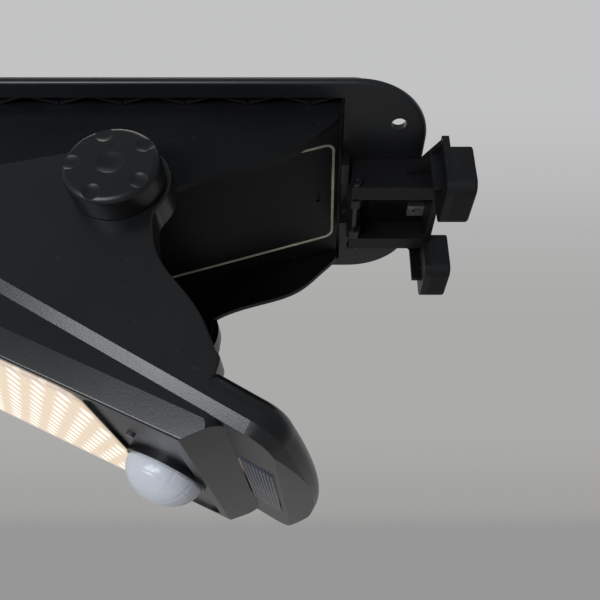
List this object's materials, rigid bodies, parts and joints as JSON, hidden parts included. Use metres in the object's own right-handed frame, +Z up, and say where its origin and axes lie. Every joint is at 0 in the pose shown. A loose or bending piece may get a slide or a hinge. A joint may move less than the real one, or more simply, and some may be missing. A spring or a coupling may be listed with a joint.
{
  "type": "solar flood light",
  "caption": "Wall-mounted solar flood light: a solar tray with battery body on a tilting wall bracket, and a hinged lamp head with LED window and motion sensor, locked by side knobs.",
  "frame": {"origin": "midway between the two wall screws, on the plane where the rubber pads meet the wall", "axes": "+Y into the wall, +Z up, X along the tilt hinge; the solar tray is level and the lamp head is pitched towards the wall at rest"},
  "size_m": [0.142, 0.2312, 0.1485],
  "materials": {
    "bracket_plastic": "satin black moulded",
    "shell_plastic": "fine satin black moulded",
    "head_plastic": "semi-gloss black moulded",
    "knob_plastic": "satin black moulded",
    "pad_rubber": "matt black rubber",
    "black_seal": "soft sealing bead",
    "beige_seal": "cream sealing bead",
    "steel": "zinc plated",
    "zinc": "pale zinc plated",
    "panel_glass": "clear, smooth",
    "solar_cell": "dark blue silicon",
    "cell_backing": "white laminate",
    "battery_wrap": "shrink wrap",
    "holder_plastic": "moulded",
    "green_board": "solder mask",
    "white_board": "white solder mask",
    "board_parts": "moulded chips and can",
    "clear_lens": "clear moulded lens",
    "smoke_lens": "smoked, finely ribbed",
    "white_plastic": "white reflector",
    "aluminium": "plain",
    "led_warm": "warm white emitters",
    "dome_plastic": "frosted white",
    "nylon": "natural nylon"
  },
  "bodies": {
    "bracket": {"wall_bracket": "bracket_plastic", "wall_pad_right": "pad_rubber", "wall_pad_left": "pad_rubber", "bracket_pin": "steel", "pin_clip": "steel", "nut_plate": "zinc"},
    "panel": {"panel_tray": "shell_plastic", "solar_backing": "cell_backing", "solar_cells": "solar_cell", "solar_glass": "panel_glass", "solar_seal": "black_seal", "base_body": "shell_plastic", "base_screws": "steel", "battery_cover": "shell_plastic", "cover_seal": "beige_seal", "battery_cells": "battery_wrap", "battery_holder": "holder_plastic", "charge_board": "green_board", "charge_parts": "board_parts", "tilt_nut_right": "steel", "tilt_nut_left": "steel"},
    "lamp_head": {"rear_housing": "head_plastic", "front_bezel": "head_plastic", "head_screws": "steel", "led_lens": "clear_lens", "reflector": "white_plastic", "led_board": "white_board", "heat_spreader": "aluminium", "leds": "led_warm", "sensor_dome": "dome_plastic", "motion_sensor": "steel", "sensor_board": "green_board", "light_sensor": "smoke_lens", "ribbed_window": "smoke_lens", "rear_board": "white_board", "rear_leds": "led_warm", "driver_board": "green_board", "driver_parts": "board_parts", "friction_disc_right": "nylon", "friction_disc_left": "nylon", "knob_washer_right": "nylon", "knob_washer_left": "nylon"},
    "knob_right": {"tilt_knob_right": "knob_plastic", "tilt_stud_right": "steel"},
    "knob_left": {"tilt_knob_left": "knob_plastic", "tilt_stud_left": "steel"}
  },
  "joints": [
    {"name": "panel_tilt", "type": "hinge", "parent": "bracket", "child": "panel", "pos_m": [0, -0.0448, 0.0086], "axis": [1, 0, 0], "range_deg": [0, 30]},
    {"name": "head_tilt", "type": "hinge", "parent": "panel", "child": "lamp_head", "pos_m": [0, -0.128, -0.0239], "axis": [1, 0, 0], "range_deg": [-20, 40]},
    {"name": "knob_right_turn", "type": "hinge", "parent": "panel", "child": "knob_right", "pos_m": [0.066, -0.128, -0.0239], "axis": [1, 0, 0], "continuous": true},
    {"name": "knob_left_turn", "type": "hinge", "parent": "panel", "child": "knob_left", "pos_m": [-0.066, -0.128, -0.0239], "axis": [1, 0, 0], "continuous": true}
  ]
}
